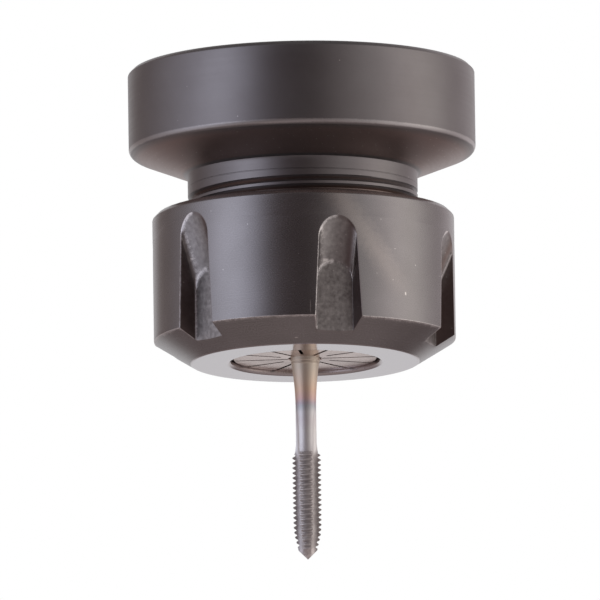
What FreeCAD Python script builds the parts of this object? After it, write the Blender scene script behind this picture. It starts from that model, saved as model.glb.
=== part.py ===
# Collet chuck for tapping: a flanged body, its clamping nut, a slotted tap collet and a tap.
# Lengths are millimetres and angles are degrees. The origin is the centre of the flange's rear
# face, +Z points up out of that face, and the tool hangs down along -Z.
import FreeCAD, Part
import math
import os
import Sketcher

# Driving sizes
sizes = [
    # fits
    ("running_clearance", 0.04),
    ("thread_clearance", 0.05),
    ("end_clearance", 0.3),
    # flange and nose of the body
    ("flange_diameter", 48.3),
    ("flange_chamfer", 0.6),
    ("rim_height", 11.54),
    ("rim_fillet", 1.0),
    ("underside_angle", 21.6),
    ("nose_diameter", 32.0),
    ("nose_chamfer", 1.0),
    ("rear_wall", 5.7),
    ("collet_back_gap", 1.0),
    # rear mounting
    ("pilot_diameter", 10.0),
    ("pilot_chamfer", 0.5),
    ("bolt_circle", 36.0),
    ("bolt_count", 4),
    ("bolt_core", 4.2),
    ("bolt_depth", 9.0),
    ("drill_point", 118.0),
    # clamping nut
    ("nut_diameter", 42.0),
    ("nut_height", 21.0),
    ("nut_top_chamfer", 0.7),
    ("nut_cone_height", 3.2),
    ("nut_face_diameter", 31.6),
    ("nut_hole_diameter", 20.8),
    ("nut_hole_bevel", 0.3),
    ("nut_entry_chamfer", 1.0),
    ("nut_turn", 13.5),
    ("lip_eccentricity", 0.9),
    ("head_clearance", 0.15),
    # wrench slots of the nut
    ("slot_count", 6),
    ("slot_floor_radius", 18.2),
    ("slot_floor_width", 5.2),
    ("slot_floor_top", 11.05),
    ("slot_mouth_width", 6.8),
    ("slot_mouth_top", 17.2),
    ("slot_mouth_cap", 5.8),
    # tap collet
    ("collet_length", 34.0),
    ("collet_diameter", 26.0),
    ("collet_standout", 8.6),
    ("collet_recess", 0.6),
    ("collet_land", 0.5),
    ("collet_back_chamfer", 0.5),
    ("collet_turn", 54.0),
    ("taper_angle", 8.0),
    ("front_angle", 30.0),
    ("face_diameter", 20.2),
    ("face_chamfer", 0.2),
    ("face_land", 0.3),
    ("head_diameter", 25.2),
    ("head_land", 0.5),
    ("groove_diameter", 22.6),
    ("groove_width", 2.0),
    # slits of the collet
    ("slit_pairs", 6),
    ("slit_width", 0.6),
    ("front_slit_length", 28.0),
    ("web_radius", 3.7),
    ("web_height", 3.0),
    # tap
    ("tap_length", 63.0),
    ("tap_standout", 28.3),
    ("tap_turn", -33.0),
    ("shank_diameter", 4.5),
    ("shank_chamfer", 0.4),
    ("square_across", 3.4),
    ("square_length", 6.0),
    ("square_clearance", 0.05),
    ("neck_diameter", 2.8),
    ("neck_start", 16.3),
    ("neck_blend_start", 21.5),
    ("neck_blend_length", 6.05),
    ("shoulder_diameter", 4.0),
    ("shoulder_height", 0.3),
    ("thread_diameter", 4.0),
    ("thread_end", 14.6),
    ("thread_runout", 0.4),
    ("root_diameter", 3.2),
    ("lead_end", 3.7),
    ("point_diameter", 3.0),
    ("point_angle", 45.0),
    # flutes of the tap
    ("flute_count", 3),
    ("flute_diameter", 2.7),
    ("flute_centre", 2.12),
    ("flute_straight", 17.2),
    ("flute_wheel_radius", 15.0),
    ("flute_lift_angle", 30.0),
]

# How far a cutting profile runs past the surface that it cuts
overrun = 1.0

doc = FreeCAD.newDocument("tap_collet_chuck")
sheet = doc.addObject("Spreadsheet::Sheet", "Sizes")
for row, (alias, number) in enumerate(sizes, 1):
    sheet.set(f"A{row}", alias)
    sheet.set(f"B{row}", str(number))
    sheet.setAlias(f"B{row}", alias)
doc.recompute()


# A length that holds its number and the sheet formula that drives it
class Size:
    def __init__(self, formula, number):
        self.formula = formula
        self.number = number

    def __add__(self, other):
        other = as_size(other)
        return Size(f"({self.formula} + {other.formula})", self.number + other.number)

    def __sub__(self, other):
        other = as_size(other)
        return Size(f"({self.formula} - {other.formula})", self.number - other.number)

    def __mul__(self, other):
        other = as_size(other)
        return Size(f"({self.formula} * {other.formula})", self.number * other.number)

    def __truediv__(self, other):
        other = as_size(other)
        return Size(f"({self.formula} / {other.formula})", self.number / other.number)

    def __neg__(self):
        return Size(f"(0 - {self.formula})", -self.number)


def as_size(value):
    if isinstance(value, Size):
        return value
    return Size(repr(value), value)


def cell(alias):
    return Size(f"Sizes.{alias}", float(sheet.get(alias)))


def tangent(angle):
    return Size(f"tan({angle.formula})", math.tan(math.radians(angle.number)))


def sine(angle):
    return Size(f"sin({angle.formula})", math.sin(math.radians(angle.number)))


def cosine(angle):
    return Size(f"cos({angle.formula})", math.cos(math.radians(angle.number)))


# Body helpers
def new_body(name):
    body = doc.addObject("PartDesign::Body", name)
    body.Label = name
    return body


def origin_part(body, role):
    return next(item for item in body.Origin.OriginFeatures if item.Role == role)


def place(body, height, turn=None):
    # Puts a body on the common axis, at its height and turned about the axis
    body.Placement = FreeCAD.Placement(
        FreeCAD.Vector(0, 0, height.number),
        FreeCAD.Rotation(FreeCAD.Vector(0, 0, 1), turn.number if turn else 0),
    )
    body.setExpression("Placement.Base.z", height.formula)
    if turn:
        body.setExpression("Placement.Rotation.Angle", f"{turn.formula} * 1 deg")


def new_sketch(body, name, role, lift=None, turn=None, turn_axis=(0, 0, 1)):
    sketch = body.newObject("Sketcher::SketchObject", name)
    sketch.AttachmentSupport = [(origin_part(body, role), "")]
    sketch.MapMode = "FlatFace"
    sketch.AttachmentOffset = FreeCAD.Placement(
        FreeCAD.Vector(0, 0, lift.number if lift else 0),
        FreeCAD.Rotation(FreeCAD.Vector(*turn_axis), turn.number if turn else 0),
    )
    if lift:
        sketch.setExpression("AttachmentOffset.Base.z", lift.formula)
    if turn:
        sketch.setExpression("AttachmentOffset.Rotation.Angle", f"{turn.formula} * 1 deg")
    return sketch


def bind(sketch, constraint, size):
    index = sketch.addConstraint(constraint)
    sketch.setExpression(f"Constraints[{index}]", size.formula)


def bind_point(sketch, item, end, point):
    x, y = (as_size(part) for part in point)
    bind(sketch, Sketcher.Constraint("DistanceX", -1, 1, item, end, x.number), x)
    bind(sketch, Sketcher.Constraint("DistanceY", -1, 1, item, end, y.number), y)


def draw(sketch, points, arcs=(), closed=True):
    # Joins the points by lines. The stretch that ends at a point numbered in arcs is an arc that
    # runs clockwise and has its centre level with the point before it.
    count = len(points)
    numbers = [tuple(as_size(part).number for part in point) for point in points]
    stretches = count if closed else count - 1
    ends = []
    for i in range(stretches):
        start = FreeCAD.Vector(*numbers[i], 0)
        end = FreeCAD.Vector(*numbers[(i + 1) % count], 0)
        if i + 1 in arcs:
            middle = (end.x + start.x + (end.y - start.y) ** 2 / (end.x - start.x)) / 2
            centre = FreeCAD.Vector(middle, start.y, 0)
            circle = Part.Circle(centre, FreeCAD.Vector(0, 0, 1), (start - centre).Length)
            angles = [math.atan2(p.y - centre.y, p.x - centre.x) for p in (end, start)]
            item = sketch.addGeometry(Part.ArcOfCircle(circle, *angles), False)
            ends.append((item, 2, 1))
        else:
            item = sketch.addGeometry(Part.LineSegment(start, end), False)
            ends.append((item, 1, 2))
    for i, (item, first, last) in enumerate(ends):
        if i + 1 < len(ends) or closed:
            after, after_first, _ = ends[(i + 1) % count]
            sketch.addConstraint(Sketcher.Constraint("Coincident", item, last, after, after_first))
        if i + 1 in arcs:
            level = as_size(points[i][1])
            bind(sketch, Sketcher.Constraint("DistanceY", -1, 1, item, 3, level.number), level)
    for i, (item, first, _) in enumerate(ends):
        bind_point(sketch, item, first, points[i])
    if not closed:
        bind_point(sketch, ends[-1][0], ends[-1][2], points[-1])


def draw_circle(sketch, centre, diameter):
    x, y = (as_size(part).number for part in centre)
    circle = Part.Circle(FreeCAD.Vector(x, y, 0), FreeCAD.Vector(0, 0, 1), diameter.number / 2)
    item = sketch.addGeometry(circle, False)
    bind_point(sketch, item, 3, centre)
    bind(sketch, Sketcher.Constraint("Diameter", item, diameter.number), diameter)


def draw_square(sketch, across):
    half = across / 2
    draw(sketch, [(-half, -half), (half, -half), (half, half), (-half, half)])


def revolve(body, name, sketch):
    feature = body.newObject("PartDesign::Revolution", name)
    feature.Profile = sketch
    feature.ReferenceAxis = (sketch, ["V_Axis"])
    feature.Angle = 360
    doc.recompute()
    return feature


def cut(body, kind, name, sketch, depth, both_ways=False):
    # A straight cut from a sketch, which has to take material away
    before = body.Shape.Volume
    feature = body.newObject(f"PartDesign::{kind}", name)
    feature.Profile = sketch
    feature.Midplane = both_ways
    feature.Length = depth.number
    feature.setExpression("Length", depth.formula)
    doc.recompute()
    assert body.Shape.Volume < before - 0.01, f"{name} cuts nothing"
    return feature


def repeat_round(body, name, feature, count):
    before = body.Shape.Volume
    pattern = body.newObject("PartDesign::PolarPattern", name)
    pattern.Originals = [feature]
    pattern.Axis = (origin_part(body, "Z_Axis"), [""])
    pattern.Angle = 360
    pattern.Occurrences = int(count.number)
    pattern.setExpression("Occurrences", count.formula)
    body.Tip = pattern
    doc.recompute()
    assert body.Shape.Volume < before - 0.01, f"{name} cuts nothing"
    return pattern


# Places that several pieces share, measured up from the collet's front face
taper_slope = tangent(cell("taper_angle"))
front_slope = tangent(cell("front_angle"))
face_radius = cell("face_diameter") / 2
head_radius = cell("head_diameter") / 2
collet_radius = cell("collet_diameter") / 2
head_start = cell("face_chamfer") + cell("face_land")
head_full = head_start + (head_radius - face_radius) / front_slope
groove_low = head_full + cell("head_land")
groove_high = groove_low + cell("groove_width")
taper_start = groove_high + cell("collet_land") * 2

# Heights of the pieces in the chuck's own frame
seat_depth = cell("collet_length") - cell("collet_standout") + cell("collet_back_gap")
body_length = cell("rear_wall") + seat_depth
collet_height = -(body_length + cell("collet_standout"))
nut_height = collet_height - cell("collet_recess")
tap_height = collet_height - cell("tap_standout")


def taper_radius(height):
    # Radius of the collet's long taper at a height above its front face
    return collet_radius - (height - taper_start) * taper_slope


# Chuck body
def make_chuck_body():
    body = new_body("chuck_body")
    rim = cell("flange_diameter") / 2
    nose = cell("nose_diameter") / 2
    pilot = cell("pilot_diameter") / 2
    gap = cell("running_clearance")
    rim_low = -cell("rim_height")
    slope = cell("underside_angle")
    neck_top = rim_low - (rim - nose) * tangent(slope)
    # The rounding touches the rim and the sloping underside this far from their corner
    reach = cell("rim_fillet") / tangent((slope + 90) / 2)
    mouth = taper_radius(cell("collet_standout")) + gap
    bottom = taper_radius(cell("collet_length") + cell("collet_back_gap")) + gap
    outline = new_sketch(body, "body_section", "XZ_Plane")
    draw(outline, [
        (pilot + cell("pilot_chamfer"), 0),
        (rim - cell("flange_chamfer"), 0),
        (rim, -cell("flange_chamfer")),
        (rim, rim_low + reach),
        (rim - reach * cosine(slope), rim_low - reach * sine(slope)),
        (nose, neck_top),
        (nose, cell("nose_chamfer") - body_length),
        (nose - cell("nose_chamfer"), -body_length),
        (mouth, -body_length),
        (bottom, -cell("rear_wall")),
        (pilot, -cell("rear_wall")),
        (pilot, -cell("pilot_chamfer")),
    ], arcs=[4])
    revolve(body, "turned_body", outline)

    centre = new_sketch(body, "bolt_centre", "XY_Plane")
    half_way = cell("bolt_circle") / 2 * math.sqrt(0.5)
    draw_circle(centre, (half_way, half_way), cell("bolt_core"))
    doc.recompute()
    before = body.Shape.Volume
    hole = body.newObject("PartDesign::Hole", "bolt_hole")
    hole.Profile = centre
    doc.recompute()
    hole.Threaded = False
    hole.DepthType = "Dimension"
    hole.DrillPoint = "Angled"
    hole.DrillPointAngle = cell("drill_point").number
    hole.setExpression("DrillPointAngle", cell("drill_point").formula)
    hole.Diameter = cell("bolt_core").number
    hole.setExpression("Diameter", cell("bolt_core").formula)
    hole.Depth = cell("bolt_depth").number
    hole.setExpression("Depth", cell("bolt_depth").formula)
    doc.recompute()
    assert body.Shape.Volume < before - 1, "bolt_hole cuts nothing"
    repeat_round(body, "bolt_holes", hole, cell("bolt_count"))
    return body


# Clamping nut, drawn up from its front face
def make_clamping_nut():
    body = new_body("clamping_nut")
    recess = cell("collet_recess")
    rim = cell("nut_diameter") / 2
    hole = cell("nut_hole_diameter") / 2
    top = cell("nut_height")
    chamber = head_radius + cell("head_clearance")
    thread = cell("nose_diameter") / 2 + cell("thread_clearance")
    cone_base = face_radius + cell("running_clearance")
    cone_low = recess + head_start + (hole - cone_base) / front_slope
    cone_high = recess + head_start + (chamber - cone_base) / front_slope
    lip_low = recess + groove_low + cell("end_clearance")
    lip_high = recess + groove_high - cell("end_clearance")
    lip_stock = cell("groove_diameter") / 2 + cell("running_clearance")
    outline = new_sketch(body, "nut_section", "XZ_Plane")
    draw(outline, [
        (hole + cell("nut_hole_bevel"), 0),
        (cell("nut_face_diameter") / 2, 0),
        (rim, cell("nut_cone_height")),
        (rim, top - cell("nut_top_chamfer")),
        (rim - cell("nut_top_chamfer"), top),
        (thread + cell("nut_entry_chamfer"), top),
        (thread, top - cell("nut_entry_chamfer")),
        (thread, lip_high),
        (lip_stock, lip_high),
        (lip_stock, lip_low),
        (chamber, lip_low),
        (chamber, cone_high),
        (hole, cone_low),
        (hole, cell("nut_hole_bevel")),
    ])
    revolve(body, "turned_nut", outline)

    # The extraction lip is bored off centre, so that the collet snaps in at a tilt
    lip = new_sketch(body, "lip_circle", "XY_Plane", lift=lip_high)
    draw_circle(lip, (cell("lip_eccentricity"), 0), chamber * 2)
    doc.recompute()
    cut(body, "Pocket", "eccentric_bore", lip, lip_high - lip_low)

    # Wrench slots: the narrow floor and the wide mouth are U shapes, joined by drafted walls
    floor_radius = cell("slot_floor_radius")
    floor_half = cell("slot_floor_width") / 2
    mouth_half = cell("slot_mouth_width") / 2
    cap_half = cell("slot_mouth_cap") / 2
    floor_level = cell("slot_floor_top") - floor_half
    mouth_level = cell("slot_mouth_top") - cap_half
    reach = (rim - floor_radius + overrun) / (rim - floor_radius)
    outer_half = floor_half + (mouth_half - floor_half) * reach
    outer_cap = floor_half + (cap_half - floor_half) * reach
    outer_level = floor_level + (mouth_level - floor_level) * reach
    below = as_size(-overrun)
    floor = new_sketch(body, "slot_floor", "XZ_Plane", lift=floor_radius)
    draw(floor, [
        (-floor_half, below),
        (-floor_half, floor_level),
        (floor_half, floor_level),
        (floor_half, below),
    ], arcs=[2])
    mouth = new_sketch(body, "slot_mouth", "XZ_Plane", lift=rim + overrun)
    draw(mouth, [
        (-outer_half, below),
        (-outer_cap, outer_level),
        (outer_cap, outer_level),
        (outer_half, below),
    ], arcs=[2])
    doc.recompute()
    before = body.Shape.Volume
    slot = body.newObject("PartDesign::SubtractiveLoft", "wrench_slot")
    slot.Profile = floor
    slot.Sections = [mouth]
    slot.Ruled = True
    doc.recompute()
    assert body.Shape.Volume < before - 10, "wrench_slot cuts nothing"
    repeat_round(body, "wrench_slots", slot, cell("slot_count"))
    place(body, nut_height, cell("nut_turn"))
    return body


# Tap collet, drawn up from its front face
def make_tap_collet():
    body = new_body("tap_collet")
    length = cell("collet_length")
    bore = cell("shank_diameter") / 2 + cell("running_clearance")
    back = taper_radius(length)
    square_start = cell("tap_length") - cell("tap_standout") - cell("square_length")
    socket_start = square_start + cell("end_clearance")
    groove = cell("groove_diameter") / 2
    outline = new_sketch(body, "collet_section", "XZ_Plane")
    draw(outline, [
        (bore, 0),
        (face_radius - cell("face_chamfer"), 0),
        (face_radius, cell("face_chamfer")),
        (face_radius, head_start),
        (head_radius, head_full),
        (head_radius, groove_low),
        (groove, groove_low),
        (groove, groove_high),
        (collet_radius - cell("collet_land"), groove_high),
        (collet_radius, groove_high + cell("collet_land")),
        (collet_radius, taper_start),
        (back, length - cell("collet_back_chamfer")),
        (back - cell("collet_back_chamfer"), length),
        (0, length),
        (0, socket_start),
        (bore, socket_start),
    ])
    revolve(body, "turned_collet", outline)

    # The square socket lines up with the square of the tap
    socket = new_sketch(
        body, "socket_square", "XY_Plane",
        lift=length, turn=cell("tap_turn") - cell("collet_turn"),
    )
    draw_square(socket, cell("square_across") + cell("square_clearance") * 2)
    doc.recompute()
    cut(body, "Pocket", "square_socket", socket, length - socket_start)

    # Long slits are sawn from the front and stop short of the back
    past_rim = collet_radius + overrun
    below = as_size(-overrun)
    saw = new_sketch(body, "front_saw", "XZ_Plane")
    draw(saw, [
        (0, below),
        (past_rim, below),
        (past_rim, cell("front_slit_length")),
        (0, cell("front_slit_length")),
    ])
    doc.recompute()
    front = cut(body, "Pocket", "front_slit", saw, cell("slit_width"), both_ways=True)
    repeat_round(body, "front_slits", front, cell("slit_pairs"))

    # Short slits are sawn from the back between them, and leave a web round the bore in front
    half_step = Size("180", 180) / cell("slit_pairs")
    saw = new_sketch(body, "back_saw", "XZ_Plane", turn=half_step, turn_axis=(0, 1, 0))
    draw(saw, [
        (cell("web_radius"), below),
        (past_rim, below),
        (past_rim, length + overrun),
        (0, length + overrun),
        (0, cell("web_height")),
        (bore, cell("web_height")),
        (cell("web_radius"), 0),
    ])
    doc.recompute()
    rear = cut(body, "Pocket", "back_slit", saw, cell("slit_width"), both_ways=True)
    repeat_round(body, "back_slits", rear, cell("slit_pairs"))
    place(body, collet_height, cell("collet_turn"))
    return body


# Tap, drawn up from the tip of its point
def make_tap():
    body = new_body("tap")
    length = cell("tap_length")
    shank = cell("shank_diameter") / 2
    neck = cell("neck_diameter") / 2
    thread = cell("thread_diameter") / 2
    point = cell("point_diameter") / 2
    shoulder = cell("neck_blend_start") + cell("neck_blend_length")
    outline = new_sketch(body, "tap_section", "XZ_Plane")
    draw(outline, [
        (0, 0),
        (point, point / tangent(cell("point_angle"))),
        (thread, cell("lead_end")),
        (thread, cell("thread_end")),
        (cell("root_diameter") / 2, cell("thread_end") + cell("thread_runout")),
        (neck, cell("neck_start")),
        (neck, cell("neck_blend_start")),
        (cell("shoulder_diameter") / 2, shoulder),
        (shank, shoulder + cell("shoulder_height")),
        (shank, length - cell("shank_chamfer")),
        (shank - cell("shank_chamfer"), length),
        (0, length),
    ], arcs=[7])
    revolve(body, "turned_tap", outline)

    # Four flats make the driving square and leave its corners round
    flats = new_sketch(body, "square_flats", "XY_Plane", lift=length)
    draw_circle(flats, (0, 0), cell("shank_diameter") + overrun)
    draw_square(flats, cell("square_across"))
    doc.recompute()
    cut(body, "Pocket", "driving_square", flats, cell("square_length"))

    # A flute runs straight along the thread, then the grinding wheel lifts out through the neck
    wheel = cell("flute_wheel_radius")
    lift = cell("flute_lift_angle")
    centre = cell("flute_centre")
    below = as_size(-overrun)
    section = new_sketch(body, "flute_section", "XY_Plane", lift=below)
    draw_circle(section, (centre, 0), cell("flute_diameter"))
    path = new_sketch(body, "flute_path", "XZ_Plane")
    draw(path, [
        (centre, below),
        (centre, cell("flute_straight")),
        (centre + wheel - wheel * cosine(lift), cell("flute_straight") + wheel * sine(lift)),
    ], arcs=[2], closed=False)
    doc.recompute()
    before = body.Shape.Volume
    flute = body.newObject("PartDesign::SubtractivePipe", "flute")
    flute.Profile = section
    flute.Spine = (path, ["Edge1", "Edge2"])
    doc.recompute()
    assert body.Shape.Volume < before - 1, "flute cuts nothing"
    repeat_round(body, "flutes", flute, cell("flute_count"))
    place(body, tap_height, cell("tap_turn"))
    return body


pieces = [make_chuck_body(), make_clamping_nut(), make_tap_collet(), make_tap()]
doc.recompute()

for item in doc.Objects:
    assert "Invalid" not in item.State and "Error" not in item.State, f"{item.Name} failed"
for piece in pieces:
    shape = piece.Shape
    assert not shape.isNull() and shape.isValid(), f"{piece.Label} has no valid shape"
    assert len(shape.Solids) == 1, f"{piece.Label} is not one solid"

os.makedirs("parts", exist_ok=True)
for piece in pieces:
    piece.Shape.exportStep(f"parts/{piece.Label}.step")
    box = piece.Shape.BoundBox
    print(piece.Label, round(piece.Shape.Volume, 1), "mm3, z", round(box.ZMin, 2), round(box.ZMax, 2))
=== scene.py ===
# Collet chuck for tapping, hanging tool down: body, clamping nut, slotted tap collet and tap.
# Shapes are drawn in millimetres and heights run along the chuck's axis.
import math
import bmesh
import bpy
import numpy as np
from mathutils import Matrix, Vector


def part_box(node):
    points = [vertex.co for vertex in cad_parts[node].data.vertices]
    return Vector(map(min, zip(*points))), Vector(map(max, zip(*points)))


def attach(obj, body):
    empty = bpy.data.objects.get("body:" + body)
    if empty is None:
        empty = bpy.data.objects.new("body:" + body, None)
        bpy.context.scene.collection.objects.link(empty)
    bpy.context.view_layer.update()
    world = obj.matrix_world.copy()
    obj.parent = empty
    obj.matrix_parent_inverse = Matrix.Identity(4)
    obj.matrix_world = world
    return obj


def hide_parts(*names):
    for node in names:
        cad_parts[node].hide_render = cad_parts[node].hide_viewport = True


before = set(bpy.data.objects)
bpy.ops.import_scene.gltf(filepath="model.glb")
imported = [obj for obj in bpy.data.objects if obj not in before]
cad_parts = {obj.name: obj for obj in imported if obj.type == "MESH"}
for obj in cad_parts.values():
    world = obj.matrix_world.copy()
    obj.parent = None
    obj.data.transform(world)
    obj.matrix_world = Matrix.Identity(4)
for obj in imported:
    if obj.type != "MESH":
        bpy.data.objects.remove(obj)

mm = 0.001
fullTurn = 2 * math.pi
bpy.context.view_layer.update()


def lowOf(node):
    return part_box(node)[0].z / mm


# Heights of the front faces and ends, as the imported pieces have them
heights = {
    "noseEnd": lowOf("chuck_body"),
    "nutFace": lowOf("clamping_nut"),
    "colletFace": lowOf("tap_collet"),
    "tapTip": lowOf("tap"),
}


# A node socket that can be reckoned with like a number
class Term:
    def __init__(self, tree, socket):
        self.tree = tree
        self.socket = socket

    def maths(self, operation, *others, clamp=False):
        node = self.tree.nodes.new("ShaderNodeMath")
        node.operation = operation
        node.use_clamp = clamp
        for slot, item in zip(node.inputs, (self, *others)):
            feed(self.tree, slot, item)
        return Term(self.tree, node.outputs[0])

    def __add__(self, other):
        return self.maths("ADD", other)

    def __sub__(self, other):
        return self.maths("SUBTRACT", other)

    def __mul__(self, other):
        return self.maths("MULTIPLY", other)

    def __truediv__(self, other):
        return self.maths("DIVIDE", other)

    def least(self, other):
        return self.maths("MINIMUM", other)

    def most(self, other):
        return self.maths("MAXIMUM", other)

    def clamped(self):
        return self.maths("ADD", 0.0, clamp=True)


def feed(tree, slot, item):
    if isinstance(item, Term):
        tree.links.new(item.socket, slot)
    elif item is not None:
        slot.default_value = item


def addNode(tree, kind, settings=None, **inputs):
    # Inputs are named by their label with no spaces
    node = tree.nodes.new(kind)
    for key, value in (settings or {}).items():
        setattr(node, key, value)
    for slot in node.inputs:
        label = slot.name.replace(" ", "")
        if label in inputs:
            feed(tree, slot, inputs.pop(label))
    assert not inputs, f"{kind} has no input {list(inputs)}"
    return node


def out(node, name=0):
    return Term(node.id_data, node.outputs[name])


def joinXYZ(x, y, z):
    return out(addNode(z.tree, "ShaderNodeCombineXYZ", X=x, Y=y, Z=z))


# Mesh helpers
def newMesh(name, points, faces, attributes=None):
    mesh = bpy.data.meshes.new(name)
    mesh.from_pydata((np.asarray(points, float) * mm).tolist(), [], faces)
    for label, values in (attributes or {}).items():
        layer = mesh.attributes.new(label, "FLOAT", "POINT")
        layer.data.foreach_set("value", np.asarray(values, np.float32))
    return mesh


def polar(radius, turn, height):
    # Points from their distance from the axis, turn about it in radians and height
    radius, turn, height = np.broadcast_arrays(radius, turn, height)
    return np.stack([radius * np.cos(turn), radius * np.sin(turn), height], -1)


def gridFaces(rows, columns, start=0, closed=False):
    # Quads of a grid of points numbered row by row
    faces = []
    for row in range(rows - 1):
        for column in range(columns if closed else columns - 1):
            here = start + row * columns + column
            beside = start + row * columns + (column + 1) % columns
            faces.append((here, beside, beside + columns, here + columns))
    return faces


def lathe(name, rings, columns, closed=False, wearAndHighlight=None):
    # Rings run along the profile as (radius, height), and a radius may be a list, one per column
    turns = np.arange(columns) * fullTurn / columns
    points = [polar(radius, turns, float(height)) for radius, height in rings]
    count = len(rings)
    faces = gridFaces(count, columns, closed=True)
    if closed:
        last = (count - 1) * columns
        for column in range(columns):
            beside = (column + 1) % columns
            faces.append((last + column, last + beside, beside, column))
    amounts = np.repeat(np.asarray(wearAndHighlight if wearAndHighlight else [0.0] * count, float), columns)
    return newMesh(name, np.concatenate(points), faces, {"wearAndHighlight": amounts})


def arcRings(centre, radius, start, end, count):
    # Points of a rounding between two angles in degrees, measured in the plane of the profile
    turns = np.radians(np.linspace(start, end, count))
    return [(centre[0] + radius * math.cos(t), centre[1] + radius * math.sin(t)) for t in turns]


def gather(meshes, reach=0.0005):
    # Joins meshes, with the points that meet made one
    whole = bmesh.new()
    for mesh in meshes:
        whole.from_mesh(mesh)
        bpy.data.meshes.remove(mesh)
    bmesh.ops.remove_doubles(whole, verts=whole.verts, dist=reach * mm)
    return whole


def solidOf(meshes, reach=0.0005):
    # The joined meshes as one closed shell with outward faces
    whole = gather(meshes, reach)
    bmesh.ops.recalc_face_normals(whole, faces=whole.faces)
    solid = bpy.data.meshes.new("solid")
    whole.to_mesh(solid)
    whole.free()
    return solid


def zipRings(whole, height):
    # Closes the flat ring between two rows of open edges that lie at one height
    verts = {
        vert for edge in whole.edges if edge.is_boundary for vert in edge.verts
        if all(abs(v.co.z / mm - height) < 0.001 for v in edge.verts)
    }
    middle = sum(vert.co.xy.length for vert in verts) / len(verts)
    inner, outer = (
        sorted(ring, key=lambda v: math.atan2(v.co.y, v.co.x))
        for ring in (
            [v for v in verts if v.co.xy.length < middle],
            [v for v in verts if v.co.xy.length >= middle],
        )
    )

    def angle(ring, i):
        place = ring[i % len(ring)].co
        return math.atan2(place.y, place.x) + fullTurn * (i // len(ring))

    i = j = 0
    while i < len(inner) or j < len(outer):
        a, b = inner[i % len(inner)], outer[j % len(outer)]
        if j >= len(outer) or (i < len(inner) and angle(inner, i + 1) < angle(outer, j + 1)):
            i += 1
            whole.faces.new((a, b, inner[i % len(inner)]))
        else:
            j += 1
            whole.faces.new((a, b, outer[j % len(outer)]))


def finishPiece(name, whole, material, sharpAngle=30):
    # Turns the joined mesh into an object with outward faces, smooth but for its sharp edges
    bmesh.ops.dissolve_degenerate(whole, dist=0.00002 * mm, edges=whole.edges)
    bmesh.ops.recalc_face_normals(whole, faces=whole.faces)
    openEdges = sum(not edge.is_manifold for edge in whole.edges)
    mesh = bpy.data.meshes.new(name)
    for face in whole.faces:
        face.smooth = True
    for edge in whole.edges:
        if edge.is_manifold and edge.calc_face_angle(0.0) > math.radians(sharpAngle):
            edge.smooth = False
    whole.to_mesh(mesh)
    whole.free()
    mesh.materials.clear()
    mesh.materials.append(material)
    piece = bpy.data.objects.new(name, mesh)
    bpy.context.scene.collection.objects.link(piece)
    triangles = sum(len(face.vertices) - 2 for face in mesh.polygons)
    print(name, triangles, "triangles,", openEdges, "open edges")
    return piece


# Geometry Nodes helpers
def newTree(name, sockets):
    tree = bpy.data.node_groups.new(name, "GeometryNodeTree")
    face = tree.interface
    face.new_socket("Geometry", in_out="INPUT", socket_type="NodeSocketGeometry")
    for label, kind in sockets:
        face.new_socket(label, in_out="INPUT", socket_type="NodeSocket" + kind)
    face.new_socket("Geometry", in_out="OUTPUT", socket_type="NodeSocketGeometry")
    entry = tree.nodes.new("NodeGroupInput")
    return tree, {slot.name: Term(tree, slot) for slot in entry.outputs if slot.name}


def closeTree(tree, geometry, material):
    painted = addNode(tree, "GeometryNodeSetMaterial", Geometry=geometry, Material=material)
    tree.links.new(painted.outputs[0], tree.nodes.new("NodeGroupOutput").inputs[0])
    return tree


def runTree(tree, mesh, values):
    # The tree's result on a mesh, as a plain mesh of its own
    maker = bpy.data.objects.new("maker", mesh)
    bpy.context.scene.collection.objects.link(maker)
    modifier = maker.modifiers.new("Build", "NODES")
    modifier.node_group = tree
    for item in tree.interface.items_tree:
        if item.item_type == "SOCKET" and item.in_out == "INPUT" and item.name in values:
            modifier[item.identifier] = values[item.name]
    depsgraph = bpy.context.evaluated_depsgraph_get()
    made = bpy.data.meshes.new_from_object(
        maker.evaluated_get(depsgraph), preserve_all_data_layers=True, depsgraph=depsgraph
    )
    bpy.data.objects.remove(maker)
    return made


def ringOfInstances(tree, given, shape):
    # One copy of a shape for each step round the axis
    points = addNode(tree, "GeometryNodePoints", Count=given["Count"])
    step = out(addNode(tree, "GeometryNodeInputIndex")) * given["Step"]
    turn = joinXYZ(0.0, 0.0, step + given["Start Turn"])
    spin = addNode(tree, "FunctionNodeEulerToRotation", Euler=turn)
    copies = addNode(
        tree, "GeometryNodeInstanceOnPoints",
        Points=out(points), Instance=shape, Rotation=out(spin),
    )
    return out(addNode(tree, "GeometryNodeRealizeInstances", Geometry=out(copies)))


def makeRepeatTree():
    # Repeats a sector round the axis and joins the copies at their borders
    tree, given = newTree("Sectors round the axis", [
        ("Count", "Int"), ("Step", "Float"), ("Start Turn", "Float"),
        ("Merge Distance", "Float"), ("Material", "Material"),
    ])
    ring = ringOfInstances(tree, given, given["Geometry"])
    joined = addNode(
        tree, "GeometryNodeMergeByDistance", Geometry=ring, Distance=given["Merge Distance"]
    )
    return closeTree(tree, out(joined), given["Material"])


def makeCutTree():
    # Takes copies of a tool away from a solid, evenly round the axis
    tree, given = newTree("Cuts round the axis", [
        ("Tool", "Object"), ("Count", "Int"), ("Step", "Float"), ("Start Turn", "Float"),
        ("Material", "Material"),
    ])
    tool = addNode(tree, "GeometryNodeObjectInfo", Object=given["Tool"])
    ring = ringOfInstances(tree, given, out(tool, "Geometry"))
    cut = addNode(
        tree, "GeometryNodeMeshBoolean", {"operation": "DIFFERENCE", "solver": "MANIFOLD"},
        Mesh1=given["Geometry"], Mesh2=ring,
    )
    return closeTree(tree, out(cut), given["Material"])


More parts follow.
